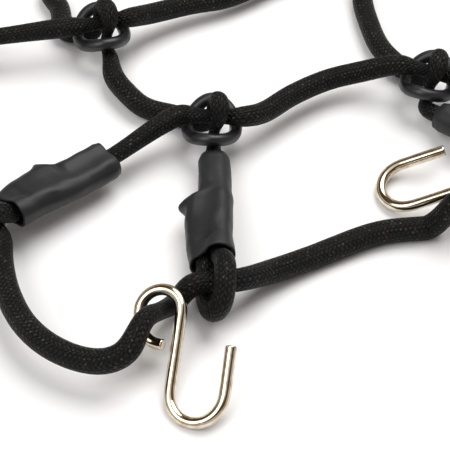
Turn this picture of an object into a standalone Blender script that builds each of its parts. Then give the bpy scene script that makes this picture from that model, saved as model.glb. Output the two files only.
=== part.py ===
"""Elastic cargo net with six wire hooks, lying loose on a flat surface.

Four cords run along X (rows) and four along Y (columns).  Where two cross, the column humps over the row
through a rubber ring that locks them.  Every cord ends in a loop round the edge cord, and its tail lies
beside it in a rubber sleeve.  Wire hooks hang on the edge cord by their eyes.
The origin is on the surface, under the middle of the net.  Tables are in millimetres.
"""
import math

import bmesh
import bpy
from mathutils import Vector

MM = 0.001

# Driving dimensions
CORD_R = 3.0            # net cords
EDGE_R = 3.25           # edge cord
NECK_R = 2.8            # edge cord where a loop squeezes it
WIRE_R = 1.5            # hook wire
RING_R = 1.75           # rubber of a crossing ring
RING_HALF_ROW = 6.6     # ring centre line, half size along the row
RING_HALF_COLUMN = 7.7  # and along the column
RING_LOW = -4.7         # ring centre line under the row cord, from the row's centre line
RING_HIGH = -1.1        # and over the column cord
CROSSING_Z = 11.2       # height of a row's centre line at a crossing
LOOP_Z = 8.8            # height of the edge cord inside a loop
EYE_Z = 9.6             # height of the edge cord inside a hook's eye
EYE_REACH = 8.0         # the edge cord is guided this far each side of an eye
EYE_DROP = 5.5          # and falls this much over that reach
RIM_N = -7.5            # sleeve rim, measured outwards from the edge cord
ROW_SLEEVE = 31.5       # sleeve lengths
COLUMN_SLEEVE = 38.0
SLEEVE_WALL = 0.75
PAST_RIM = 1.5          # the two cords stay side by side this far past the rim
LEG_GAP = 2.3           # least distance from a crossing's leg to its sleeve
PAIR_HALF = 2.65        # half the distance between the two cord centres in a sleeve
REST_Z = 2.5            # height of a cord lying on the surface, which it touches with a flat
REST_REACH = 4.5        # it lies flat this far each side of a rest
SPAN_STEP = 14.0        # spacing of the points along a free span
MIDDLE = Vector((-4.1, -17.6, 0.0))     # middle of the net with its hooks; the origin is put there

# Hook, in its own plane: w across towards the tip, s along the shank towards the eye, from the eye's centre
SHANK_W = 5.7
BEND_R = 7.2
BEND_S = -20.2
TIP_S = -7.8
# Hook pose in degrees: the shank's heading from the edge cord's, its rise to the eye, the lift of the tip side
HOOK_POSE = (30.5, 24.5, 16.0)
OTHER_POSES = {"hook_1": (19.5, 24.5, 16.0), "hook_2": (14.0, 17.5, 1.5)}

# Crossings: column, row, x, y, turn of the row cord in degrees
CROSSINGS = (
    (1, 1, -86.0, -98.6, -20.0),
    (2, 1, -23.0, -100.1, -35.0),
    (3, 1, 36.0, -97.0, 5.0),
    (4, 1, 93.0, -94.0, -3.0),
    (1, 2, -105.7, -54.3, -4.0),
    (2, 2, -25.0, -39.0, 4.0),
    (3, 2, 35.0, -35.0, -3.0),
    (4, 2, 91.0, -37.0, 2.0),
    (1, 3, -95.0, 14.0, 4.0),
    (2, 3, -32.0, 20.0, -3.0),
    (3, 3, 29.0, 23.0, 2.0),
    (4, 3, 89.0, 20.0, -4.0),
    (1, 4, -92.0, 76.0, -3.0),
    (2, 4, -33.0, 79.0, 3.0),
    (3, 4, 31.0, 81.0, -2.0),
    (4, 4, 90.0, 77.0, 2.0),
)

# Free bends between crossings: cord, crossing before, x, y, z.  Other spans sag to the surface on their own.
BENDS = {
    ("row", 1, 1): ((-71.4, -99.6, 9.2), (-61.9, -94.8, 8.2), (-50.2, -91.4, 7.6), (-39.8, -91.5, 8.0)),
    ("row", 2, 1): ((-90.6, -51.9, 8.4), (-77.9, -49.6, 6.6), (-64.8, -48.7, 5.4), (-46.0, -43.0, 6.5)),
    ("column", 1, 1): ((-100.8, -83.2, 3.6), (-104.2, -76.5, 4.0), (-106.2, -69.5, 4.4)),
    ("column", 1, 2): ((-113.9, -36.5, 3.2), (-115.0, -28.0, 3.2)),
    ("column", 2, 1): ((-29.7, -79.8, 3.4), (-29.3, -69.3, 3.2), (-27.7, -59.1, 3.2)),
}

# Edge cord, anticlockwise from above: kind, name, x, y, then height for a free point or heading for the others.
# A loop's heading points outwards; the heading of an eye or a rest runs along the edge cord.
EDGE = (
    ("free", "", -149.9, -150.6, 8.0),
    ("free", "", -144.2, -160.3, 8.0),
    ("free", "", -135.6, -167.2, 8.8),
    ("free", "", -128.6, -168.3, 11.4),
    ("eye", "hook_1", -117.0, -157.3, 45.0),
    ("loop", "column_1_start", -101.0, -152.0, -100.0),
    ("free", "", -84.0, -149.6, 4.6),
    ("free", "", -68.2, -146.4, REST_Z),
    ("free", "", -53.7, -144.6, REST_Z),
    ("free", "", -40.8, -146.7, 3.2),
    ("eye", "hook_2", -23.8, -146.9, 6.0),
    ("loop", "column_2_start", -2.0, -151.5, -64.0),
    ("free", "", 14.0, -152.0, REST_Z),
    ("loop", "column_3_start", 31.0, -154.0, -94.0),
    ("rest", "", 62.0, -156.0, -1.0),
    ("loop", "column_4_start", 92.0, -152.0, -92.0),
    ("eye", "hook_3", 118.0, -155.0, 8.0),
    ("free", "", 145.0, -149.0, 5.0),
    ("free", "", 156.0, -132.0, 5.0),
    ("loop", "row_1_end", 159.0, -97.0, 0.0),
    ("rest", "", 162.0, -68.0, 92.0),
    ("loop", "row_2_end", 157.0, -38.0, 2.0),
    ("eye", "hook_4", 159.0, -9.0, 92.0),
    ("loop", "row_3_end", 156.0, 20.0, -3.0),
    ("rest", "", 160.0, 50.0, 91.0),
    ("loop", "row_4_end", 157.0, 80.0, 3.0),
    ("free", "", 158.0, 110.0, 4.0),
    ("free", "", 151.0, 129.0, 5.0),
    ("free", "", 133.0, 139.0, 5.0),
    ("loop", "column_4_end", 88.0, 141.0, 83.0),
    ("eye", "hook_5", 58.0, 144.0, 178.0),
    ("loop", "column_3_end", 28.0, 144.0, 84.0),
    ("rest", "", -3.0, 148.0, 179.0),
    ("loop", "column_2_end", -38.0, 144.0, 85.0),
    ("rest", "", -68.0, 146.0, 182.0),
    ("loop", "column_1_end", -98.0, 141.0, 87.0),
    ("free", "", -132.0, 139.0, 4.0),
    ("free", "", -151.0, 128.0, 5.0),
    ("free", "", -158.0, 108.0, 4.0),
    ("loop", "row_4_start", -158.0, 79.0, 178.0),
    ("rest", "", -163.0, 48.0, 272.0),
    ("loop", "row_3_start", -161.0, 15.0, 182.0),
    ("eye", "hook_6", -167.0, -13.0, 274.0),
    ("loop", "row_2_start", -176.5, -44.0, 180.0),
    ("rest", "", -165.0, -78.0, 284.0),
    ("loop", "row_1_start", -152.3, -116.7, 205.0),
    ("free", "", -151.2, -127.5, 8.0),
    ("free", "", -151.9, -139.0, 8.0),
)
FLIPPED_HOOKS = ("hook_2", "hook_5")

# Column cord through a crossing: along the row, along the column, height from the row's centre line, radius
HUMP = (
    (-9.5, 7.2, -8.2, 3.0),
    (-5.0, 5.4, -8.3, 2.5),
    (-1.6, 3.4, -7.4, 2.0),
    (-0.6, 3.2, -4.8, 1.7),
    (-0.2, 3.75, -2.2, 1.5),
    (0.2, 4.0, 0.4, 1.6),
    (1.1, 3.6, 3.1, 2.3),
    (2.0, 1.4, 4.85, 2.7),
    (2.5, -1.4, 4.85, 2.7),
    (2.3, -3.5, 3.1, 2.25),
    (1.5, -3.85, 0.4, 1.5),
    (0.8, -3.65, -2.2, 1.45),
    (0.7, -3.2, -4.8, 1.6),
    (0.8, -4.6, -6.2, 1.8),
    (1.0, -8.2, -6.2, 2.3),
)
# Row cord through a crossing: along the row, height, radius
ROW_NECK = (
    (-8.6, 0.3, 2.9),
    (-3.6, 0.0, 1.95),
    (3.6, 0.0, 1.95),
    (8.6, 0.3, 2.9),
)
# Cord round the edge cord, from sleeve to sleeve: outwards, sideways, height, radius
LOOP = (
    (-4.1, -2.4, 4.8, 2.6),
    (-1.6, -2.6, 6.0, 2.8),
    (2.4, -2.3, 5.9, 2.8),
    (6.6, -1.4, 3.6, 2.8),
    (8.4, 0.0, 0.2, 2.8),
    (6.8, 1.4, -3.2, 2.8),
    (2.8, 2.2, -5.9, 2.8),
    (-1.6, 2.4, -6.0, 2.8),
    (-4.1, 2.3, -4.8, 2.6),
)
# Sleeve sections: fraction of the length, shift towards the tail, half width, half thickness, roll in degrees
SECTIONS = {
    "row": (
        (0.00, 0.0, 5.7, 3.5, 0.0),
        (0.05, 0.0, 6.1, 3.7, 0.0),
        (0.40, 0.2, 6.1, 3.8, 0.0),
        (0.56, 2.0, 7.4, 3.9, 5.0),
        (0.80, 2.65, 7.3, 3.9, 14.0),
        (1.00, 2.65, 7.4, 4.1, 28.0),
    ),
    "column": (
        (0.00, 0.0, 3.9, 3.5, 0.0),
        (0.05, 0.0, 4.3, 4.0, 0.0),
        (0.37, 0.2, 4.5, 4.0, 0.0),
        (0.48, 2.2, 6.7, 3.9, 8.0),
        (0.80, 2.65, 6.5, 3.9, 31.0),
        (1.00, 2.65, 6.7, 4.45, 46.0),
    ),
}
# Sleeves that leave the line to their crossing: heading from the rim and height of the other end
SLEEVE_HEADINGS = {"row_1_start": (25.0, 7.6)}
SLEEVE_SIDES = 8
RING_STEPS = 12
SQUEEZED_R = 2.25       # cords inside a sleeve

COLORS = {
    "cord": (0.030, 0.030, 0.028, 0.75, 0.0),
    "ring": (0.028, 0.030, 0.034, 0.38, 0.0),
    "sleeve": (0.085, 0.087, 0.090, 0.6, 0.0),
    "hook": (0.72, 0.69, 0.63, 0.18, 1.0),
}


def heading(degrees):
    """Unit vector in the surface, anticlockwise from +X."""
    return Vector((math.cos(math.radians(degrees)), math.sin(math.radians(degrees)), 0.0))


def side_of(direction):
    """Horizontal unit vector to the right of a direction."""
    return Vector((direction.y, -direction.x, 0.0)).normalized()


def smooth(points, closed=False):
    """Points with radii read from a smooth curve through the given ones; long spans get more of them."""
    count = len(points)
    result = []
    for index in range(count if closed else count - 1):
        if closed:
            four = [points[(index + step) % count] for step in (-1, 0, 1, 2)]
        else:
            four = [points[min(max(index + step, 0), count - 1)] for step in (-1, 0, 1, 2)]
        (before, _), (start, radius_a), (end, radius_b), (after, _) = four
        length = (end - start).length
        tangent_a = (end - before) * (length / max((end - before).length, 1e-6))
        tangent_b = (after - start) * (length / max((after - start).length, 1e-6))
        steps = max(1, round(length / SPAN_STEP))
        for step in range(steps):
            t = step / steps
            place = (start * (2 * t**3 - 3 * t**2 + 1) + tangent_a * (t**3 - 2 * t**2 + t)
                     + end * (3 * t**2 - 2 * t**3) + tangent_b * (t**3 - t**2))
            result.append((place, radius_a + (radius_b - radius_a) * t))
    if not closed:
        result.append(points[-1])
    return result


def crossing_frame(entry):
    """Centre and the two directions of a crossing."""
    _, _, x, y, turn = entry
    return Vector((x, y, CROSSING_Z)), heading(turn), heading(turn + 90.0)


def row_through(entry):
    centre, along, _ = crossing_frame(entry)
    return [(centre + along * u + Vector((0, 0, z)), radius) for u, z, radius in ROW_NECK]


def column_through(entry):
    """From the far side (+Y) to the near side."""
    centre, along, across = crossing_frame(entry)
    return [(centre + along * u + across * v + Vector((0, 0, z)), radius) for u, v, z, radius in HUMP]


def loop_place(name):
    """Edge cord point and outward direction of a loop."""
    for kind, entry_name, x, y, angle in EDGE:
        if kind == "loop" and entry_name == name:
            return Vector((x, y, LOOP_Z)), heading(angle)
    raise KeyError(name)


def pair_axis(along, roll):
    """Direction from the main cord to its tail across a sleeve."""
    return side_of(along) * math.cos(math.radians(roll)) - Vector((0, 0, math.sin(math.radians(roll))))


def sleeve_frame(name, leg, length):
    """Main cord's line inside a sleeve: its start near the crossing and its end at the rim."""
    sections = SECTIONS[name.split("_")[0]]
    anchor, outward = loop_place(name)
    mouth = anchor + outward * RIM_N
    rim = mouth - pair_axis(mouth - leg, sections[-1][4]) * PAIR_HALF
    flat = Vector((rim.x - leg.x, rim.y - leg.y, 0.0))
    length = min(length, flat.length - LEG_GAP)
    if name in SLEEVE_HEADINGS:
        angle, height = SLEEVE_HEADINGS[name]
        top = rim + heading(angle) * length
        top.z = height
        return top, rim
    top = rim - flat.normalized() * length
    top.z = leg.z + (rim.z - leg.z) * max(0.0, 1.0 - length / flat.length)
    top.z = max(top.z, sections[1][3] + 0.3)
    return top, rim


def sleeve_section(top, rim, section):
    """Centre and the two half axes of a sleeve section."""
    fraction, shift, half_width, half_thick, roll = section
    axis = (rim - top).normalized()
    sideways = pair_axis(axis, roll)
    sideways = (sideways - axis * sideways.dot(axis)).normalized()
    centre = top.lerp(rim, fraction) + sideways * shift
    return centre, sideways, axis.cross(sideways), half_width, half_thick


def cord_end(name, leg, length):
    """A cord's end: tail in the sleeve, round the edge cord and back through the sleeve to the net."""
    top, rim = sleeve_frame(name, leg, length)
    anchor, outward = loop_place(name)
    side = side_of(outward)
    axis = (rim - top).normalized()
    tail = []
    for section, along in zip(SECTIONS[name.split("_")[0]][3:], (1.5, 0.0, PAST_RIM)):
        centre, sideways, _, _, _ = sleeve_section(top, rim, section)
        tail.append((centre + sideways * (2 * PAIR_HALF - section[1]) + axis * along, SQUEEZED_R))
    loop = [(anchor + outward * n + side * t + Vector((0, 0, z)), radius) for n, t, z, radius in LOOP]
    inside = [(rim + axis * PAST_RIM, SQUEEZED_R), (top.lerp(rim, 0.5), SQUEEZED_R)]
    neck = [(top + axis * along, NECK_R - 0.4) for along in (3.0, -1.5)]
    return tail + loop[::-1] + inside + neck


def sag(start, end):
    """Middle of a free span, lying on the surface."""
    middle = start.lerp(end, 0.5)
    middle.z = REST_Z
    return [(middle, CORD_R)]


def net_cord(kind, number):
    """Whole route of one net cord, tail to tail."""
    across = 1 if kind == "row" else 0
    entries = [entry for entry in CROSSINGS if entry[across] == number]
    passes = [row_through(entry) if kind == "row" else column_through(entry)[::-1] for entry in entries]
    length = ROW_SLEEVE if kind == "row" else COLUMN_SLEEVE
    route = cord_end(f"{kind}_{number}_start", passes[0][0][0], length)
    for index, part in enumerate(passes):
        bends = BENDS.get((kind, number, index))
        if bends:
            route += [(Vector(bend), CORD_R) for bend in bends]
        elif index:
            route += sag(route[-1][0], part[0][0])
        route += part
    route += cord_end(f"{kind}_{number}_end", passes[-1][-1][0], length)[::-1]
    return route


def edge_route():
    route = []
    for kind, _, x, y, value in EDGE:
        if kind == "free":
            route.append((Vector((x, y, value)), EDGE_R))
        elif kind == "rest":
            centre = Vector((x, y, REST_Z))
            route += [(centre + heading(value) * offset, EDGE_R) for offset in (-REST_REACH, REST_REACH)]
        elif kind == "loop":
            along = side_of(heading(value)) * -1.0
            centre = Vector((x, y, LOOP_Z))
            route += [(centre + along * offset, radius)
                      for offset, radius in ((-6.0, 3.0), (0.0, NECK_R), (6.0, 3.0))]
        else:
            along = heading(value)
            centre = Vector((x, y, EYE_Z))
            fall = Vector((0, 0, EYE_DROP))
            route += [(centre - along * EYE_REACH + fall, 2.65),
                      (centre, 2.3),
                      (centre + along * EYE_REACH - fall, 2.65)]
    return route


def hook_outline():
    """Hook wire in its own plane, from the curled end round the eye, down the shank to the tip."""
    points = [(2.2, -8.5), (-0.5, -8.1), (-3.2, -6.4)]
    for degrees in range(205, -1, -30):
        angle = math.radians(degrees)
        points.append((SHANK_W * math.cos(angle), SHANK_W * math.sin(angle)))
    points += [(SHANK_W, -3.0), (SHANK_W, -12.0), (SHANK_W, BEND_S)]
    for degrees in range(205, 361, 26):
        angle = math.radians(degrees)
        points.append((SHANK_W + BEND_R + BEND_R * math.cos(angle), BEND_S + BEND_R * math.sin(angle)))
    points.append((SHANK_W + 2 * BEND_R, TIP_S))
    return points


def hook_axes(name, edge_heading):
    """Directions across and along a hook."""
    turn = -1.0 if name in FLIPPED_HOOKS else 1.0
    shank_turn, shank_rise, tip_lift = OTHER_POSES.get(name, HOOK_POSE)
    level = heading(edge_heading + turn * shank_turn)
    rise = math.radians(shank_rise)
    along = level * math.cos(rise) + Vector((0, 0, math.sin(rise)))
    side = side_of(level) * turn
    over = along.cross(side).normalized()
    if over.z < 0:
        over.negate()
    roll = math.radians(tip_lift)
    across = side * math.cos(roll) + over * math.sin(roll)
    return across, along


def hook_route(entry):
    _, name, x, y, edge_heading = entry
    across, along = hook_axes(name, edge_heading)
    centre = Vector((x, y, EYE_Z))
    return [(centre + across * w + along * s, WIRE_R) for w, s in hook_outline()]


def ring_route(entry):
    centre, along, across = crossing_frame(entry)
    route = []
    for step in range(RING_STEPS):
        angle = 2 * math.pi * step / RING_STEPS
        height = RING_LOW + (RING_HIGH - RING_LOW) * math.sin(angle) ** 2
        place = centre + along * (RING_HALF_ROW * math.cos(angle)) + across * (RING_HALF_COLUMN * math.sin(angle))
        route.append((place + Vector((0, 0, height)), RING_R))
    return route


def material(name):
    red, green, blue, roughness, metallic = COLORS[name]
    made = bpy.data.materials.new(name)
    made.use_nodes = True
    shader = made.node_tree.nodes["Principled BSDF"]
    shader.inputs["Base Color"].default_value = (red, green, blue, 1.0)
    shader.inputs["Roughness"].default_value = roughness
    shader.inputs["Metallic"].default_value = metallic
    return made


def finish(name, mesh, finish_name, collection):
    """Adds a mesh to the net, flat where it touches the surface."""
    for vertex in mesh.vertices:
        vertex.co.z = max(vertex.co.z, 0.0)
    mesh.materials.clear()
    mesh.materials.append(material(finish_name))
    mesh.shade_smooth()
    collection.objects.link(bpy.data.objects.new(name, mesh))


def tube(name, route, finish_name, collection, closed=False, twist="MINIMUM"):
    """Round tube along a route, as a closed mesh."""
    curve = bpy.data.curves.new(name + "_curve", "CURVE")
    curve.dimensions = "3D"
    curve.bevel_depth = MM
    curve.bevel_resolution = 1
    curve.use_fill_caps = not closed
    curve.twist_mode = twist
    spline = curve.splines.new("POLY")
    spline.points.add(len(route) - 1)
    for point, (place, radius) in zip(spline.points, route):
        point.co = (*((place - MIDDLE) * MM), 1.0)
        point.radius = radius
    spline.use_cyclic_u = closed
    guide = bpy.data.objects.new(name + "_guide", curve)
    collection.objects.link(guide)
    shape = guide.evaluated_get(bpy.context.evaluated_depsgraph_get())
    mesh = bpy.data.meshes.new_from_object(shape)
    bpy.data.objects.remove(guide)
    bpy.data.curves.remove(curve)
    work = bmesh.new()
    work.from_mesh(mesh)
    bmesh.ops.remove_doubles(work, verts=work.verts, dist=1e-6)
    bmesh.ops.recalc_face_normals(work, faces=work.faces)
    work.to_mesh(mesh)
    work.free()
    mesh.name = name
    finish(name, mesh, finish_name, collection)


def sleeve_outline(half_width, half_thick):
    """Points of a round-ended oval."""
    flat = half_width - half_thick
    points = []
    for step in range(SLEEVE_SIDES):
        angle = 2 * math.pi * (step + 0.5) / SLEEVE_SIDES
        across = math.cos(angle)
        points.append((half_thick * across + math.copysign(flat, across), half_thick * math.sin(angle)))
    return points


def sleeve(name, leg, length, collection):
    """Hollow sleeve over a cord and its tail, a loft between unlike sections."""
    top, rim = sleeve_frame(name, leg, length)
    work = bmesh.new()
    skins = []
    for inset in (0.0, SLEEVE_WALL):
        rings = []
        for section in SECTIONS[name.split("_")[0]]:
            centre, sideways, upward, half_width, half_thick = sleeve_section(top, rim, section)
            outline = sleeve_outline(half_width - inset, half_thick - inset)
            centre -= MIDDLE
            rings.append([work.verts.new((centre + sideways * u + upward * v) * MM) for u, v in outline])
        skins.append(rings)
    outer, inner = skins
    for skin in skins:
        for first, second in zip(skin, skin[1:]):
            for step in range(SLEEVE_SIDES):
                following = (step + 1) % SLEEVE_SIDES
                work.faces.new((first[step], first[following], second[following], second[step]))
    for end in (0, -1):
        for step in range(SLEEVE_SIDES):
            following = (step + 1) % SLEEVE_SIDES
            work.faces.new((outer[end][step], outer[end][following], inner[end][following], inner[end][step]))
    bmesh.ops.recalc_face_normals(work, faces=work.faces)
    mesh = bpy.data.meshes.new(name + "_sleeve")
    work.to_mesh(mesh)
    work.free()
    finish(name + "_sleeve", mesh, "sleeve", collection)


def main():
    for thing in list(bpy.data.objects):
        bpy.data.objects.remove(thing)
    collection = bpy.data.collections.new("cargo_net")
    bpy.context.scene.collection.children.link(collection)

    tube("edge_cord", smooth(edge_route(), closed=True), "cord", collection, closed=True, twist="Z_UP")
    for kind, length in (("row", ROW_SLEEVE), ("column", COLUMN_SLEEVE)):
        for number in range(1, 5):
            tube(f"{kind}_{number}", smooth(net_cord(kind, number)), "cord", collection)
            across = 1 if kind == "row" else 0
            entries = [entry for entry in CROSSINGS if entry[across] == number]
            if kind == "row":
                first, last = row_through(entries[0])[0], row_through(entries[-1])[-1]
            else:
                first, last = column_through(entries[0])[-1], column_through(entries[-1])[0]
            sleeve(f"{kind}_{number}_start", first[0], length, collection)
            sleeve(f"{kind}_{number}_end", last[0], length, collection)
    for entry in CROSSINGS:
        tube(f"ring_{entry[0]}_{entry[1]}", ring_route(entry), "ring", collection, closed=True)
    for entry in EDGE:
        if entry[0] == "eye":
            tube(entry[1], hook_route(entry), "hook", collection)


main()
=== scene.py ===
import math

import bpy
from mathutils import Matrix, Vector, noise


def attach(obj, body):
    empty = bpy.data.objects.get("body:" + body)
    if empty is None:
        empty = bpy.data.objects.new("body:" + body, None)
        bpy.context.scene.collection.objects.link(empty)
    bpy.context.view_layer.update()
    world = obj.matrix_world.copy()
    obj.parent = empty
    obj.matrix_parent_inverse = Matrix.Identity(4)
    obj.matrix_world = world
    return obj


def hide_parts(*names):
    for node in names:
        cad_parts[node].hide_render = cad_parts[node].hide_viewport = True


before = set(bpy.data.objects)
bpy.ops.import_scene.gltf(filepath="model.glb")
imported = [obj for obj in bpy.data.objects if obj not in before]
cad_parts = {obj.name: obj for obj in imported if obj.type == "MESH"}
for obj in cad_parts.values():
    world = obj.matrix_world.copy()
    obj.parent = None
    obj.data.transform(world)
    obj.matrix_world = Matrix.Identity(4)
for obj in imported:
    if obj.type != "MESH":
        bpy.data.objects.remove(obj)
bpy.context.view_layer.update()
print("frame loaded")

mm = 0.001
up = Vector((0.0, 0.0, 1.0))

# in millimetres and degrees
camera = {
    "aim": (-88.9, -116.4, 8.0),
    "azimuth": -17.0,
    "elevation": 50.0,
    "distance": 460.0,
    "fieldOfView": 14.5,
    "sensor": 36.0,
}


def placeCamera():
    turn = math.radians(camera["azimuth"])
    lift = math.radians(camera["elevation"])
    level = math.cos(lift)
    back = Vector((math.sin(turn) * level, -math.cos(turn) * level, math.sin(lift)))
    data = bpy.data.cameras.new("camera")
    data.sensor_width = camera["sensor"]
    data.lens = camera["sensor"] / 2 / math.tan(math.radians(camera["fieldOfView"] / 2))
    data.clip_start = 0.02
    data.clip_end = 50.0
    made = bpy.data.objects.new("camera", data)
    made.location = (Vector(camera["aim"]) + back * camera["distance"]) * mm
    made.rotation_mode = "QUATERNION"
    made.rotation_quaternion = (-back).to_track_quat("-Z", "Y")
    bpy.context.scene.collection.objects.link(made)
    bpy.context.scene.camera = made


placeCamera()
print("camera placed")


class Value:
    # a socket that takes part in plain arithmetic
    def __init__(self, tree, socket):
        self.tree = tree
        self.socket = socket

    def math(self, operation, *items):
        node = self.tree.nodes.new("ShaderNodeMath")
        node.operation = operation
        for socket, item in zip(node.inputs, items):
            feed(self.tree, socket, item)
        return Value(self.tree, node.outputs[0])

    def __add__(self, other):
        return self.math("ADD", self, other)

    def __radd__(self, other):
        return self.math("ADD", other, self)

    def __sub__(self, other):
        return self.math("SUBTRACT", self, other)

    def __rsub__(self, other):
        return self.math("SUBTRACT", other, self)

    def __mul__(self, other):
        return self.math("MULTIPLY", self, other)

    def __rmul__(self, other):
        return self.math("MULTIPLY", other, self)

    def __truediv__(self, other):
        return self.math("DIVIDE", self, other)

    def __rtruediv__(self, other):
        return self.math("DIVIDE", other, self)

    def __pow__(self, other):
        return self.math("POWER", self, other)

    def __mod__(self, other):
        return self.math("FLOORED_MODULO", self, other)

    def floor(self):
        return self.math("FLOOR", self)

    def cos(self):
        return self.math("COSINE", self)


def feed(tree, socket, item):
    if isinstance(item, Value):
        tree.links.new(item.socket, socket)
    else:
        socket.default_value = item


class Recipe:
    # a node tree while it is being made
    def __init__(self, tree):
        self.tree = tree

    def node(self, kind, settings, sockets, output=0):
        made = self.tree.nodes.new(kind)
        for name, value in settings.items():
            if name == "stops":
                elements = made.color_ramp.elements
                while len(elements) < len(value):
                    elements.new(0.5)
                for element, (place, color) in zip(elements, value):
                    element.position = place
                    element.color = color
            else:
                setattr(made, name, value)
        for name, value in sockets.items():
            feed(self.tree, made.inputs[name], value)
        return Value(self.tree, made.outputs[output])


class Finish(Recipe):
    # one material while it is being made
    def __init__(self, name):
        self.material = bpy.data.materials.new(name)
        self.material.use_nodes = True
        super().__init__(self.material.node_tree)
        self.shader = self.tree.nodes["Principled BSDF"]

    def place(self):
        # the point on the piece, in millimetres
        spot = self.node("ShaderNodeTexCoord", {}, {}, "Object")
        return self.node("ShaderNodeVectorMath", {"operation": "SCALE"}, {0: spot, "Scale": 1 / mm})

    def lengthwise(self):
        # millimetres along the piece, then the share of the way round it
        return self.node("ShaderNodeUVMap", {"uv_map": "lengthwise"}, {})

    def noise(self, scale, detail, roughness, vector=None):
        # scale is in features for each millimetre
        at = self.place() if vector is None else vector
        return self.node("ShaderNodeTexNoise", {"noise_dimensions": "3D"},
                         {"Vector": at, "Scale": scale, "Detail": detail, "Roughness": roughness},
                         "Fac")

    def streaks(self, along, around):
        # lines drawn out along the piece
        drawn = self.node("ShaderNodeVectorMath", {"operation": "MULTIPLY"},
                          {0: self.lengthwise(), 1: (along, around, 0.0)})
        return self.noise(1.0, 2.0, 0.5, drawn)

    def spread(self, value, low, high, toLow=0.0, toHigh=1.0):
        return self.node("ShaderNodeMapRange", {"clamp": True},
                         {"Value": value, 1: low, 2: high, 3: toLow, 4: toHigh})

    def mix(self, share, first, second):
        return self.node("ShaderNodeMix", {"data_type": "RGBA"}, {0: share, 6: first, 7: second}, 2)

    def bump(self, height, strength, distance):
        return self.node("ShaderNodeBump", {},
                         {"Height": height, "Strength": strength, "Distance": distance * mm},
                         "Normal")

    def set(self, **sockets):
        for name, value in sockets.items():
            feed(self.tree, self.shader.inputs[name.replace("_", " ")], value)


def rgb(red, green, blue):
    return (red, green, blue, 1.0)


# lengths in millimetres; a noise is its features a millimetre, detail and roughness
braid = {
    "lanes": 20,
    "pitch": 1.25,          # from one stitch to the next along a lane
    "slant": 0.36,
    # painted shade for the crevices between the strands
    "valley": rgb(0.0006, 0.0006, 0.0007),
    "rib": rgb(0.0042, 0.0039, 0.0034),
    "worn": rgb(0.0105, 0.0098, 0.0082),
    # painted highlight: bright specks standing in for light glinting off the strands
    "paintedGlint": rgb(0.200, 0.188, 0.158),
    "relief": 0.26,
    "fuzz": (2.6, 3.0, 0.6),
    "patches": (0.09, 2.0, 0.5),
    "specks": (0.85, 2.0, 0.7),
    # where the painted highlight specks show
    "specksShown": (0.54, 0.70, 0.0, 0.75),
    # range over which the painted shade of the crevices gives way to the rib colour
    "stitchShown": (0.30, 1.05),
    "roughness": (0.40, 0.60),
    "specular": 0.16,
}


def braidedCord():
    finish = Finish("braided cord")
    spot = finish.lengthwise()
    along = finish.node("ShaderNodeSeparateXYZ", {}, {0: spot}, 0)
    around = finish.node("ShaderNodeSeparateXYZ", {}, {0: spot}, 1)
    lane = around * braid["lanes"]
    number = lane.floor()
    across = lane - number - 0.5
    odd = number % 2.0
    side = odd * 2.0 - 1.0
    phase = along / braid["pitch"] + side * across * braid["slant"] + odd * 0.5
    rib = (phase * (2 * math.pi)).cos() * 0.5 + 0.5
    dome = 1.0 - across * across * 3.0
    height = (rib ** 0.7) * dome
    fuzz = finish.noise(*braid["fuzz"])
    patches = finish.noise(*braid["patches"])
    specks = finish.noise(*braid["specks"])
    lit = finish.mix(finish.spread(patches, 0.35, 0.7), braid["rib"], braid["worn"])
    # mask for the painted highlight specks on the strands
    paintedGlints = finish.spread(specks * 0.6 + fuzz * 0.4, *braid["specksShown"])
    lit = finish.mix(paintedGlints, lit, braid["paintedGlint"])
    # painted shade: the braid's crevices darker than the rib tops, following the same relief as the
    # bump
    shade = finish.spread(height * (fuzz * 0.9 + 0.55), *braid["stitchShown"])
    finish.set(Base_Color=finish.mix(shade, braid["valley"], lit),
               Roughness=finish.spread(fuzz, 0.3, 0.7, *braid["roughness"]),
               Normal=finish.bump(height + fuzz * 0.3, 1.0, braid["relief"]),
               Specular_IOR_Level=braid["specular"])
    return finish.material


ringRubber = {
    "color": rgb(0.0035, 0.0042, 0.0058),
    "bloom": rgb(0.010, 0.011, 0.014),
    "cloud": (0.22, 3.0, 0.5),
    "fine": (5.0, 3.0, 0.65),
    "relief": 0.03,
    "roughness": (0.30, 0.46),
    "specular": 0.55,
}


def smoothRubber():
    finish = Finish("smooth ring rubber")
    cloud = finish.noise(*ringRubber["cloud"])
    fine = finish.noise(*ringRubber["fine"])
    bloom = finish.spread(cloud, 0.38, 0.66)
    grain = cloud * 0.7 + fine * 0.3
    finish.set(Base_Color=finish.mix(bloom, ringRubber["color"], ringRubber["bloom"]),
               Roughness=finish.spread(grain, 0.3, 0.7, *ringRubber["roughness"]),
               Normal=finish.bump(fine, 0.25, ringRubber["relief"]),
               Specular_IOR_Level=ringRubber["specular"])
    return finish.material


sleeveRubber = {
    "color": rgb(0.0070, 0.0080, 0.0092),
    "bloom": rgb(0.015, 0.016, 0.0175),
    "cloud": (0.16, 3.0, 0.5),
    "fine": (4.0, 4.0, 0.7),
    "streaks": (0.05, 26.0),        # along the sleeve, round it
    "relief": 0.07,
    "roughness": (0.42, 0.58),
    "specular": 0.38,
}


def mattRubber():
    finish = Finish("matt sleeve rubber")
    cloud = finish.noise(*sleeveRubber["cloud"])
    fine = finish.noise(*sleeveRubber["fine"])
    streaks = finish.streaks(*sleeveRubber["streaks"])
    tone = cloud * 0.55 + streaks * 0.45
    bloom = finish.spread(tone, 0.36, 0.66)
    grain = tone * 0.7 + fine * 0.3
    finish.set(Base_Color=finish.mix(bloom, sleeveRubber["color"], sleeveRubber["bloom"]),
               Roughness=finish.spread(grain, 0.3, 0.7, *sleeveRubber["roughness"]),
               Normal=finish.bump(fine * 0.6 + streaks * 0.4, 0.4, sleeveRubber["relief"]),
               Specular_IOR_Level=sleeveRubber["specular"])
    return finish.material


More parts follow.
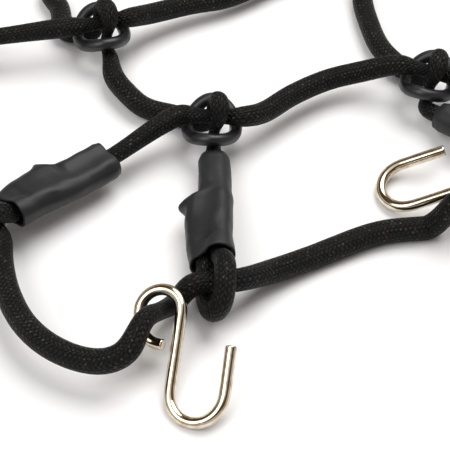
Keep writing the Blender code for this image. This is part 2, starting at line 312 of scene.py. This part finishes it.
plating = {
    "nickel": rgb(0.76, 0.69, 0.57),
    "warm": rgb(0.50, 0.38, 0.24),
    "cloud": (0.35, 3.0, 0.5),
    "fine": (7.0, 3.0, 0.7),
    "dieLines": (0.35, 60.0),       # along the wire, round it
    "relief": 0.02,
    "roughness": (0.08, 0.18),
}


def nickelPlate():
    finish = Finish("bright nickel plate")
    cloud = finish.noise(*plating["cloud"])
    fine = finish.noise(*plating["fine"])
    dieLines = finish.streaks(*plating["dieLines"])
    warmth = finish.spread(cloud, 0.40, 0.72)
    finish.set(Base_Color=finish.mix(warmth, plating["nickel"], plating["warm"]),
               Roughness=finish.spread(cloud * 0.5 + fine * 0.5, 0.3, 0.7, *plating["roughness"]),
               Normal=finish.bump(dieLines * 0.6 + fine * 0.4, 0.2, plating["relief"]),
               Metallic=1.0)
    return finish.material


finishes = {
    "cord": braidedCord(),
    "ring": smoothRubber(),
    "sleeve": mattRubber(),
    "hook": nickelPlate(),
}
print("finishes made")


def skin(name, rows, slot, node, closed=False, twist=0.0):
    # rows run along the piece, each a ring of points with the same count
    sides = len(rows[0])
    # nothing dips under the floor
    verts = [Vector((x, y, max(z, 0.0))) * mm for row in rows for x, y, z in row]
    reach = [0.0]
    for before, after in zip(rows, rows[1:] + rows[:1]):
        step = sum(((b - a).length for a, b in zip(before, after)), 0.0) / sides
        reach.append(reach[-1] + step)
    faces = []
    spots = []
    count = len(rows)
    for row in range(count if closed else count - 1):
        following = (row + 1) % count
        for side in range(sides):
            other = (side + 1) % sides
            faces.append((row * sides + side, row * sides + other,
                          following * sides + other, following * sides + side))
            low, high = side / sides, (side + 1) / sides
            start, end = reach[row], reach[row + 1]
            spots += [(start, low + start * twist), (start, high + start * twist),
                      (end, high + end * twist), (end, low + end * twist)]
    if not closed:
        for row, order in ((0, -1), (count - 1, 1)):
            faces.append(tuple(row * sides + side for side in range(sides))[::order])
            spots += [(reach[row], side / sides) for side in range(sides)]
    mesh = bpy.data.meshes.new(name)
    mesh.from_pydata(verts, [], faces)
    layer = mesh.uv_layers.new(name="lengthwise")
    layer.data.foreach_set("uv", [number for spot in spots for number in spot])
    mesh.materials.append(finishes[slot])
    mesh.shade_smooth()
    made = bpy.data.objects.new(name, mesh)
    bpy.context.scene.collection.objects.link(made)
    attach(made, "root")
    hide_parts(node)


def sweep(path, sides, closed=False):
    # rings of points square to a path of (place, radius)
    count = len(path)
    tangents = []
    for index in range(count):
        before = path[index - 1][0] if closed or index else path[0][0]
        after = path[(index + 1) % count][0] if closed or index < count - 1 else path[-1][0]
        tangents.append((after - before).normalized())
    normal = tangents[0].orthogonal().normalized()
    if abs(tangents[0].z) < 0.9:
        normal = (up - tangents[0] * tangents[0].z).normalized()
    normals = [normal]
    for before, after in zip(tangents, tangents[1:]):
        normal = before.rotation_difference(after) @ normal
        normal = (normal - after * normal.dot(after)).normalized()
        normals.append(normal)
    drift = 0.0
    if closed:
        last = tangents[-1].rotation_difference(tangents[0]) @ normals[-1]
        drift = math.atan2(last.cross(normals[0]).dot(tangents[0]), last.dot(normals[0]))
    rows = []
    for index, ((place, radius), tangent, normal) in enumerate(zip(path, tangents, normals)):
        turned = Matrix.Rotation(drift * index / count, 3, tangent) @ normal
        sideways = tangent.cross(turned)
        angles = [2 * math.pi * side / sides for side in range(sides)]
        rows.append([place + turned * (radius * math.cos(angle))
                     + sideways * (radius * math.sin(angle)) for angle in angles])
    return rows


def smoothPath(points, closed=False, step=1.0, passes=6):
    # fine path through (place, radius) points, with its corners eased
    count = len(points)
    path = []
    for index in range(count if closed else count - 1):
        if closed:
            four = [points[(index + offset) % count] for offset in (-1, 0, 1, 2)]
        else:
            four = [points[min(max(index + offset, 0), count - 1)]
                    for offset in (-1, 0, 1, 2)]
        (before, _), (start, radiusA), (end, radiusB), (after, _) = four
        length = (end - start).length
        tangentA = (end - before) * (length / max((end - before).length, 1e-6))
        tangentB = (after - start) * (length / max((after - start).length, 1e-6))
        pieces = max(1, round(length / step))
        for piece in range(pieces):
            t = piece / pieces
            place = (start * (2 * t**3 - 3 * t**2 + 1) + tangentA * (t**3 - 2 * t**2 + t)
                     + end * (3 * t**2 - 2 * t**3) + tangentB * (t**3 - t**2))
            ease = t * t * (3 - 2 * t)
            path.append((place, radiusA + (radiusB - radiusA) * ease))
    if not closed:
        path.append(points[-1])
    for _ in range(passes):
        last = len(path) - 1
        eased = []
        for index, (place, radius) in enumerate(path):
            if not closed and index in (0, last):
                eased.append((place, radius))
                continue
            left, right = path[index - 1], path[(index + 1) % len(path)]
            eased.append((place * 0.5 + (left[0] + right[0]) * 0.25,
                          radius * 0.5 + (left[1] + right[1]) * 0.25))
        path = eased
    return path


# the net's layout in millimetres, as the CAD has it
net = {
    "middle": Vector((-4.1, -17.6, 0.0)),
    "cordRadius": 3.0,
    "edgeRadius": 3.25,
    "neckRadius": 2.4,      # where a cord enters its sleeve
    "squeezedRadius": 2.25,
    "crossingHeight": 11.2,
    "loopHeight": 8.8,
    "inLoop": ((-6.0, 3.0), (0.0, 2.8), (6.0, 3.0)),    # edge cord: along, radius
    "eyeHeight": 9.6,
    "eyeReach": 8.0,
    "eyeDrop": 5.5,
    "eyeRadii": (2.65, 2.3, 2.65),
    "restHeight": 2.9,
    "restReach": 4.5,
    "rimBehind": -7.5,
    "rowSleeve": 31.5,
    "columnSleeve": 38.0,
    "pastRim": 1.5,
    "tailOffsets": (1.5, 0.0, 1.5),
    "neckOffsets": (3.0, -1.5),
    "sleeveClearance": 0.3,
    "legGap": 2.3,
    "pairHalf": 2.65,
    "cordSides": 28,
    "cordStep": 0.9,
    "braidTwist": 0.0016,
    "flattening": 0.97,     # a cord on the floor, as a share of its radius
}

# column, row, x, y, turn of the row cord
crossings = (
    (1, 1, -86.0, -98.6, -20.0),
    (2, 1, -23.0, -100.1, -35.0),
    (3, 1, 36.0, -97.0, 5.0),
    (4, 1, 93.0, -94.0, -3.0),
    (1, 2, -105.7, -54.3, -4.0),
    (2, 2, -25.0, -39.0, 4.0),
    (3, 2, 35.0, -35.0, -3.0),
    (4, 2, 91.0, -37.0, 2.0),
    (1, 3, -95.0, 14.0, 4.0),
    (2, 3, -32.0, 20.0, -3.0),
    (3, 3, 29.0, 23.0, 2.0),
    (4, 3, 89.0, 20.0, -4.0),
    (1, 4, -92.0, 76.0, -3.0),
    (2, 4, -33.0, 79.0, 3.0),
    (3, 4, 31.0, 81.0, -2.0),
    (4, 4, 90.0, 77.0, 2.0),
)

# free bends between crossings: cord, crossing before, x, y, height
bends = {
    ("row", 1, 1): ((-71.4, -99.6, 9.2), (-61.9, -94.8, 8.2),
                    (-50.2, -91.4, 7.6), (-39.8, -91.5, 8.0)),
    ("row", 2, 1): ((-90.6, -51.9, 8.4), (-77.9, -49.6, 6.6),
                    (-64.8, -48.7, 5.4), (-46.0, -43.0, 6.5)),
    ("column", 1, 1): ((-100.8, -83.2, 3.6), (-104.2, -76.5, 4.0), (-106.2, -69.5, 4.4)),
    ("column", 1, 2): ((-113.9, -36.5, 3.2), (-115.0, -28.0, 3.2)),
    ("column", 2, 1): ((-29.7, -79.8, 3.4), (-29.3, -69.3, 3.2), (-27.7, -59.1, 3.2)),
}

# edge cord, anticlockwise from above: kind, name, x, y, then height or heading
edge = (
    ("free", "", -149.9, -150.6, 8.0),
    ("free", "", -144.2, -160.3, 8.0),
    ("free", "", -135.6, -167.2, 8.8),
    ("free", "", -128.6, -168.3, 11.4),
    ("eye", "hook_1", -117.0, -157.3, 45.0),
    ("loop", "column_1_start", -101.0, -152.0, -100.0),
    ("free", "", -84.0, -149.6, 4.6),
    ("free", "", -68.2, -146.4, 2.9),
    ("free", "", -53.7, -144.6, 2.9),
    ("free", "", -40.8, -146.7, 3.2),
    ("eye", "hook_2", -23.8, -146.9, 6.0),
    ("loop", "column_2_start", -2.0, -151.5, -64.0),
    ("free", "", 14.0, -152.0, 2.9),
    ("loop", "column_3_start", 31.0, -154.0, -94.0),
    ("rest", "", 62.0, -156.0, -1.0),
    ("loop", "column_4_start", 92.0, -152.0, -92.0),
    ("eye", "hook_3", 118.0, -155.0, 8.0),
    ("free", "", 145.0, -149.0, 5.0),
    ("free", "", 156.0, -132.0, 5.0),
    ("loop", "row_1_end", 159.0, -97.0, 0.0),
    ("rest", "", 162.0, -68.0, 92.0),
    ("loop", "row_2_end", 157.0, -38.0, 2.0),
    ("eye", "hook_4", 159.0, -9.0, 92.0),
    ("loop", "row_3_end", 156.0, 20.0, -3.0),
    ("rest", "", 160.0, 50.0, 91.0),
    ("loop", "row_4_end", 157.0, 80.0, 3.0),
    ("free", "", 158.0, 110.0, 4.0),
    ("free", "", 151.0, 129.0, 5.0),
    ("free", "", 133.0, 139.0, 5.0),
    ("loop", "column_4_end", 88.0, 141.0, 83.0),
    ("eye", "hook_5", 58.0, 144.0, 178.0),
    ("loop", "column_3_end", 28.0, 144.0, 84.0),
    ("rest", "", -3.0, 148.0, 179.0),
    ("loop", "column_2_end", -38.0, 144.0, 85.0),
    ("rest", "", -68.0, 146.0, 182.0),
    ("loop", "column_1_end", -98.0, 141.0, 87.0),
    ("free", "", -132.0, 139.0, 4.0),
    ("free", "", -151.0, 128.0, 5.0),
    ("free", "", -158.0, 108.0, 4.0),
    ("loop", "row_4_start", -158.0, 79.0, 178.0),
    ("rest", "", -163.0, 48.0, 272.0),
    ("loop", "row_3_start", -161.0, 15.0, 182.0),
    ("eye", "hook_6", -167.0, -13.0, 274.0),
    ("loop", "row_2_start", -176.5, -44.0, 180.0),
    ("rest", "", -165.0, -78.0, 284.0),
    ("loop", "row_1_start", -152.3, -116.7, 205.0),
    ("free", "", -151.2, -127.5, 8.0),
    ("free", "", -151.9, -139.0, 8.0),
)

# column cord over a crossing: along the row, along the column, height, radius
hump = (
    (-9.5, 7.2, -8.2, 3.0),
    (-5.0, 5.4, -8.3, 2.5),
    (-1.6, 3.4, -7.4, 2.0),
    (-0.6, 3.2, -4.8, 1.7),
    (-0.2, 3.75, -2.2, 1.5),
    (0.2, 4.0, 0.4, 1.6),
    (1.1, 3.6, 3.1, 2.3),
    (2.0, 1.4, 4.85, 2.7),
    (2.5, -1.4, 4.85, 2.7),
    (2.3, -3.5, 3.1, 2.25),
    (1.5, -3.85, 0.4, 1.5),
    (0.8, -3.65, -2.2, 1.45),
    (0.7, -3.2, -4.8, 1.6),
    (0.8, -4.6, -6.2, 1.8),
    (1.0, -8.2, -6.2, 2.3),
)
# row cord through a crossing: along the row, height, radius
rowNeck = (
    (-8.6, 0.3, 2.9),
    (-3.6, 0.0, 1.95),
    (3.6, 0.0, 1.95),
    (8.6, 0.3, 2.9),
)
# a cord round the edge cord, from sleeve to sleeve: outwards, sideways, height, radius
loop = (
    (-4.1, -2.4, 4.8, 2.6),
    (-1.6, -2.6, 6.0, 2.8),
    (2.4, -2.3, 5.9, 2.8),
    (6.6, -1.4, 3.6, 2.8),
    (8.4, 0.0, 0.2, 2.8),
    (6.8, 1.4, -3.2, 2.8),
    (2.8, 2.2, -5.9, 2.8),
    (-1.6, 2.4, -6.0, 2.8),
    (-4.1, 2.3, -4.8, 2.6),
)
# sleeve: share of its length, shift towards the tail, half width, half thickness, roll
sections = {
    "row": (
        (0.00, 0.0, 5.7, 3.5, 0.0),
        (0.05, 0.0, 6.1, 3.7, 0.0),
        (0.40, 0.2, 6.1, 3.8, 0.0),
        (0.56, 2.0, 7.4, 3.9, 5.0),
        (0.80, 2.65, 7.3, 3.9, 14.0),
        (1.00, 2.65, 7.4, 4.1, 28.0),
    ),
    "column": (
        (0.00, 0.0, 3.9, 3.5, 0.0),
        (0.05, 0.0, 4.3, 4.0, 0.0),
        (0.37, 0.2, 4.5, 4.0, 0.0),
        (0.48, 2.2, 6.7, 3.9, 8.0),
        (0.80, 2.65, 6.5, 3.9, 31.0),
        (1.00, 2.65, 6.7, 4.45, 46.0),
    ),
}

# sleeves that leave the line to their crossing: heading from the rim and height of the other end
sleeveHeadings = {"row_1_start": (25.0, 7.6)}


def heading(degrees):
    angle = math.radians(degrees)
    return Vector((math.cos(angle), math.sin(angle), 0.0))


def sideOf(direction):
    return Vector((direction.y, -direction.x, 0.0)).normalized()


def crossingFrame(entry):
    _, _, x, y, turn = entry
    return Vector((x, y, net["crossingHeight"])), heading(turn), heading(turn + 90.0)


def rowThrough(entry):
    centre, along, _ = crossingFrame(entry)
    return [(centre + along * u + up * z, radius) for u, z, radius in rowNeck]


def columnThrough(entry):
    centre, along, across = crossingFrame(entry)
    return [(centre + along * u + across * v + up * z, radius) for u, v, z, radius in hump]


def loopPlace(name):
    for kind, entryName, x, y, angle in edge:
        if kind == "loop" and entryName == name:
            return Vector((x, y, net["loopHeight"])), heading(angle)
    raise KeyError(name)


def pairAxis(along, roll):
    angle = math.radians(roll)
    return sideOf(along) * math.cos(angle) - up * math.sin(angle)


def sleeveLine(name, leg, length):
    # the main cord's line inside a sleeve, from the crossing's side to the rim
    kindSections = sections[name.split("_")[0]]
    anchor, outward = loopPlace(name)
    mouth = anchor + outward * net["rimBehind"]
    rim = mouth - pairAxis(mouth - leg, kindSections[-1][4]) * net["pairHalf"]
    flat = Vector((rim.x - leg.x, rim.y - leg.y, 0.0))
    length = min(length, flat.length - net["legGap"])
    if name in sleeveHeadings:
        angle, height = sleeveHeadings[name]
        top = rim + heading(angle) * length
        top.z = height
        return top, rim
    top = rim - flat.normalized() * length
    top.z = leg.z + (rim.z - leg.z) * max(0.0, 1.0 - length / flat.length)
    top.z = max(top.z, kindSections[1][3] + net["sleeveClearance"])
    return top, rim


def sleeveSection(top, rim, section):
    fraction, shift, halfWidth, halfThick, roll = section
    axis = (rim - top).normalized()
    sideways = pairAxis(axis, roll)
    sideways = (sideways - axis * sideways.dot(axis)).normalized()
    centre = top.lerp(rim, fraction) + sideways * shift
    return centre, sideways, axis.cross(sideways), halfWidth, halfThick


def cordEnd(name, leg, length):
    # tail in the sleeve, round the edge cord and back through the sleeve
    top, rim = sleeveLine(name, leg, length)
    anchor, outward = loopPlace(name)
    side = sideOf(outward)
    axis = (rim - top).normalized()
    squeezed = net["squeezedRadius"]
    tail = []
    for section, offset in zip(sections[name.split("_")[0]][3:], net["tailOffsets"]):
        centre, sideways, _, _, _ = sleeveSection(top, rim, section)
        beside = sideways * (2 * net["pairHalf"] - section[1])
        tail.append((centre + beside + axis * offset, squeezed))
    bend = [(anchor + outward * n + side * t + up * z, radius) for n, t, z, radius in loop]
    inside = [(rim + axis * net["pastRim"], squeezed), (top.lerp(rim, 0.5), squeezed)]
    neck = [(top + axis * offset, net["neckRadius"]) for offset in net["neckOffsets"]]
    return tail + bend[::-1] + inside + neck


def sag(start, end):
    middle = start.lerp(end, 0.5)
    middle.z = net["restHeight"]
    return [(middle, net["cordRadius"])]


def crossingsOf(kind, number):
    place = 1 if kind == "row" else 0
    return [entry for entry in crossings if entry[place] == number]


def netCordRoute(kind, number):
    entries = crossingsOf(kind, number)
    passes = [rowThrough(entry) if kind == "row" else columnThrough(entry)[::-1]
              for entry in entries]
    length = net[kind + "Sleeve"]
    route = cordEnd(f"{kind}_{number}_start", passes[0][0][0], length)
    for index, part in enumerate(passes):
        free = bends.get((kind, number, index))
        if free:
            route += [(Vector(bend), net["cordRadius"]) for bend in free]
        elif index:
            route += sag(route[-1][0], part[0][0])
        route += part
    route += cordEnd(f"{kind}_{number}_end", passes[-1][-1][0], length)[::-1]
    return route


def edgeRoute():
    route = []
    for kind, _, x, y, value in edge:
        if kind == "free":
            route.append((Vector((x, y, value)), net["edgeRadius"]))
        elif kind == "rest":
            centre = Vector((x, y, net["restHeight"]))
            route += [(centre + heading(value) * offset, net["edgeRadius"])
                      for offset in (-net["restReach"], net["restReach"])]
        elif kind == "loop":
            along = sideOf(heading(value)) * -1.0
            centre = Vector((x, y, net["loopHeight"]))
            route += [(centre + along * offset, radius) for offset, radius in net["inLoop"]]
        else:
            along = heading(value)
            centre = Vector((x, y, net["eyeHeight"]))
            # the cord comes down through the eye
            step = along * net["eyeReach"] - up * net["eyeDrop"]
            route += [(centre + step * offset, radius)
                      for offset, radius in zip((-1, 0, 1), net["eyeRadii"])]
    return route


def placed(route):
    return [(place - net["middle"], radius) for place, radius in route]


def cord(name, route, node, closed=False):
    path = []
    for (x, y, z), radius in smoothPath(placed(route), closed, net["cordStep"]):
        path.append((Vector((x, y, max(z, radius * net["flattening"]))), radius))
    rows = sweep(path, net["cordSides"], closed)
    skin(name, rows, "cord", node, closed, net["braidTwist"])


cord("braidedEdgeCord", edgeRoute(), "edge_cord", closed=True)
for kind in ("row", "column"):
    for number in range(1, 5):
        node = f"{kind}_{number}"
        cord("braidedCord_" + node, netCordRoute(kind, number), node)
print("cords made")


sleeve = {
    "sides": 56,
    "steps": 84,
    "wall": 0.75,
    "insideSteps": 14,
    "bulge": 1.2,           # where the tail's cut end pushes the sleeve out
    "bulgeAt": {"row": 0.55, "column": 0.48},
    # share of the length past bulgeAt, and how far it spreads
    "cutEnd": (0.0, 0.030),
    "behindCutEnd": (0.085, 0.035),
    "behindDepth": 0.7,
    "valley": 0.8,          # dip between the two cords
    "valleyHalf": 2.0,
    "dent": 1.0,
    # along the sleeve and across it, each with its spread, then the depth
    "fold": ((-0.10, 0.035), (3.2, 1.6), 0.9),          # beside the cut end
    "pinch": ((0.86, 0.030), (-1.0, 2.6), 0.7),         # near the rim
    "wobble": 0.3,
}


def bell(value, middle, spread):
    return math.exp(-((value - middle) / spread) ** 2)


def sectionAt(kind, share):
    # values between the given sections, eased
    table = sections[kind]
    for first, second in zip(table, table[1:]):
        if share <= second[0]:
            t = (share - first[0]) / (second[0] - first[0])
            ease = t * t * (3 - 2 * t)
            return [share] + [a + (b - a) * ease for a, b in zip(first[1:], second[1:])]
    return list(table[-1])


def sleeveRow(kind, top, rim, share, inset, seed):
    section = sectionAt(kind, share)
    centre, sideways, upward, halfWidth, halfThick = sleeveSection(top, rim, section)
    flat = halfWidth - halfThick
    past = share - sleeve["bulgeAt"][kind]
    bulge = bell(past, *sleeve["cutEnd"])
    bulge -= sleeve["behindDepth"] * bell(past, *sleeve["behindCutEnd"])
    dip = sleeve["valley"] * min(1.0, max(0.0, flat / 2.4))
    foldAlong, foldAcross, foldDepth = sleeve["fold"]
    pinchAlong, pinchAcross, pinchDepth = sleeve["pinch"]
    row = []
    for step in range(sleeve["sides"]):
        angle = 2 * math.pi * (step + 0.5) / sleeve["sides"]
        across, over = math.cos(angle), math.sin(angle)
        onFace = min(1.0, abs(over) * 1.5)
        ease = across / math.sqrt(across * across + 0.02)
        u = (halfThick - inset) * across + flat * ease
        v = (halfThick - inset) * over
        v -= math.copysign(dip * bell(u, 0.0, sleeve["valleyHalf"]), v) * onFace
        u += sleeve["bulge"] * bulge * max(0.0, across) ** 3
        fold = foldDepth * bell(past, *foldAlong) * bell(u, *foldAcross)
        pinch = pinchDepth * bell(share, *pinchAlong) * bell(u, *pinchAcross)
        v -= math.copysign(sleeve["dent"] * (fold + pinch), v) * onFace
        spot = Vector((share * 7.0 + seed * 7.3, across * 1.3, over * 1.3))
        wobble = noise.noise(spot) * sleeve["wobble"]
        point = centre + sideways * u + upward * v
        row.append(point + (sideways * across + upward * over) * wobble)
    return row


def rubberSleeve(name, leg, length, node, seed):
    top, rim = sleeveLine(name, leg, length)
    kind = name.split("_")[0]
    outer, inner = sleeve["steps"], sleeve["insideSteps"]
    rows = [sleeveRow(kind, top, rim, step / outer, 0.0, seed) for step in range(outer + 1)]
    rows += [sleeveRow(kind, top, rim, 1.0 - step / inner, sleeve["wall"], seed)
             for step in range(inner + 1)]
    rows = [[point - net["middle"] for point in row] for row in rows]
    skin("rubberSleeve_" + name, rows, "sleeve", node, closed=True)


seed = 0
for kind in ("row", "column"):
    for number in range(1, 5):
        entries = crossingsOf(kind, number)
        if kind == "row":
            legs = (rowThrough(entries[0])[0][0], rowThrough(entries[-1])[-1][0])
        else:
            legs = (columnThrough(entries[0])[-1][0], columnThrough(entries[-1])[0][0])
        for end, leg in zip(("start", "end"), legs):
            seed += 1
            name = f"{kind}_{number}_{end}"
            rubberSleeve(name, leg, net[kind + "Sleeve"], name + "_sleeve", seed)
print("sleeves made")


ring = {
    "radius": 1.75,
    "halfAlongRow": 6.6,
    "halfAlongColumn": 7.7,
    "low": -4.7,
    "high": -1.1,
    "steps": 96,
    "sides": 24,
}


def rubberRing(entry):
    centre, along, across = crossingFrame(entry)
    path = []
    for step in range(ring["steps"]):
        angle = 2 * math.pi * step / ring["steps"]
        height = ring["low"] + (ring["high"] - ring["low"]) * math.sin(angle) ** 2
        place = (centre + along * (ring["halfAlongRow"] * math.cos(angle))
                 + across * (ring["halfAlongColumn"] * math.sin(angle)) + up * height)
        path.append((place - net["middle"], ring["radius"]))
    rows = sweep(path, ring["sides"], closed=True)
    place = f"{entry[0]}_{entry[1]}"
    skin("rubberRing_" + place, rows, "ring", "ring_" + place, closed=True)


for entry in crossings:
    rubberRing(entry)
print("rings made")


hook = {
    "wire": 1.5,
    "curl": ((2.2, -8.5), (-0.5, -8.1), (-3.2, -6.4)),      # the eye's free end
    "eyeTurn": 205,
    "shank": 5.7,
    "bendRadius": 7.2,
    "bendLow": -20.2,
    "tip": -7.8,
    # heading from the edge cord, rise to the eye, lift of the tip side
    "pose": (30.5, 24.5, 16.0),
    "otherPoses": {"hook_1": (19.5, 24.5, 16.0), "hook_2": (14.0, 17.5, 1.5)},
    "flipped": ("hook_2", "hook_5"),
    "cutEnd": ((0.0, 0.80), (0.12, 0.94), (0.3, 1.0)),      # distance in, share of the radius
    "sides": 24,
}


def hookOutline():
    shank, radius, low = hook["shank"], hook["bendRadius"], hook["bendLow"]
    points = list(hook["curl"])
    for degrees in range(hook["eyeTurn"], -1, -15):
        angle = math.radians(degrees)
        points.append((shank * math.cos(angle), shank * math.sin(angle)))
    points += [(shank, -3.0), (shank, -12.0), (shank, low)]
    for degrees in range(192, 361, 12):
        angle = math.radians(degrees)
        points.append((shank + radius + radius * math.cos(angle), low + radius * math.sin(angle)))
    points.append((shank + 2 * radius, hook["tip"]))
    return points


def wireHook(name, x, y, edgeHeading):
    turn = -1.0 if name in hook["flipped"] else 1.0
    shankTurn, shankRise, tipLift = hook["otherPoses"].get(name, hook["pose"])
    level = heading(edgeHeading + turn * shankTurn)
    rise = math.radians(shankRise)
    along = level * math.cos(rise) + up * math.sin(rise)
    side = sideOf(level) * turn
    over = along.cross(side).normalized()
    if over.z < 0:
        over.negate()
    roll = math.radians(tipLift)
    across = side * math.cos(roll) + over * math.sin(roll)
    centre = Vector((x, y, net["eyeHeight"])) - net["middle"]
    route = [(centre + across * w + along * s, hook["wire"]) for w, s in hookOutline()]
    path = smoothPath(route, step=0.45, passes=8)
    # the cut ends are a little rounded
    for _ in range(2):
        place, radius = path[0]
        back = (path[1][0] - place).normalized()
        rounded = [(place + back * inward, radius * share) for inward, share in hook["cutEnd"]]
        path = (rounded + path[1:])[::-1]
    skin(name.replace("hook", "wireHook"), sweep(path, hook["sides"]), "hook", name)


for kind, name, x, y, value in edge:
    if kind == "eye":
        wireHook(name, x, y, value)
print("hooks made")


studio = {
    "floorSize": 6.0,
    "floor": rgb(0.91, 0.91, 0.92),
    "floorRoughness": 0.6,
    "floorSpecular": 0.2,
    "sky": 1.0,
    # sky colour by height, from straight down to straight up
    "heights": (
        (0.0, rgb(0.30, 0.28, 0.25)),
        (0.55, rgb(0.22, 0.20, 0.18)),
        (0.68, rgb(0.90, 0.90, 0.92)),
        (0.75, rgb(0.075, 0.045, 0.022)),
        (0.935, rgb(0.11, 0.075, 0.042)),
        (0.965, rgb(0.75, 0.75, 0.77)),
        (1.0, rgb(0.95, 0.96, 1.00)),
    ),
    # name, place, size, power, colour, in metres and watts
    "lamps": (
        ("key", (0.55, 0.40, 1.20), 1.25, 20.0, (1.0, 0.99, 0.97)),
        ("fill", (-0.9, -0.3, 1.1), 1.1, 9.5, (1.0, 0.99, 0.98)),
    ),
}


def paleFloor():
    size = studio["floorSize"] / 2
    mesh = bpy.data.meshes.new("floor")
    corners = [(-size, -size, 0), (size, -size, 0), (size, size, 0), (-size, size, 0)]
    mesh.from_pydata(corners, [], [(0, 1, 2, 3)])
    finish = Finish("pale floor")
    finish.set(Base_Color=studio["floor"], Roughness=studio["floorRoughness"],
               Specular_IOR_Level=studio["floorSpecular"])
    mesh.materials.append(finish.material)
    made = bpy.data.objects.new("floor", mesh)
    bpy.context.scene.collection.objects.link(made)


def lamp(name, place, size, power, color):
    data = bpy.data.lights.new(name, "AREA")
    data.shape = "DISK"
    data.size = size
    data.energy = power
    data.color = color
    made = bpy.data.objects.new(name, data)
    made.location = place
    made.rotation_mode = "QUATERNION"
    made.rotation_quaternion = Vector(place).to_track_quat("Z", "Y")
    bpy.context.scene.collection.objects.link(made)


def softSky():
    world = bpy.data.worlds.new("soft sky")
    world.use_nodes = True
    recipe = Recipe(world.node_tree)
    spot = recipe.node("ShaderNodeTexCoord", {}, {}, "Generated")
    height = recipe.node("ShaderNodeSeparateXYZ", {}, {0: spot}, "Z") * 0.5 + 0.5
    color = recipe.node("ShaderNodeValToRGB", {"stops": studio["heights"]}, {"Fac": height},
                        "Color")
    background = recipe.tree.nodes["Background"]
    feed(recipe.tree, background.inputs["Color"], color)
    feed(recipe.tree, background.inputs["Strength"], studio["sky"])
    bpy.context.scene.world = world


paleFloor()
for entry in studio["lamps"]:
    lamp(*entry)
softSky()
bpy.context.scene.view_settings.view_transform = "Standard"
print("studio made")
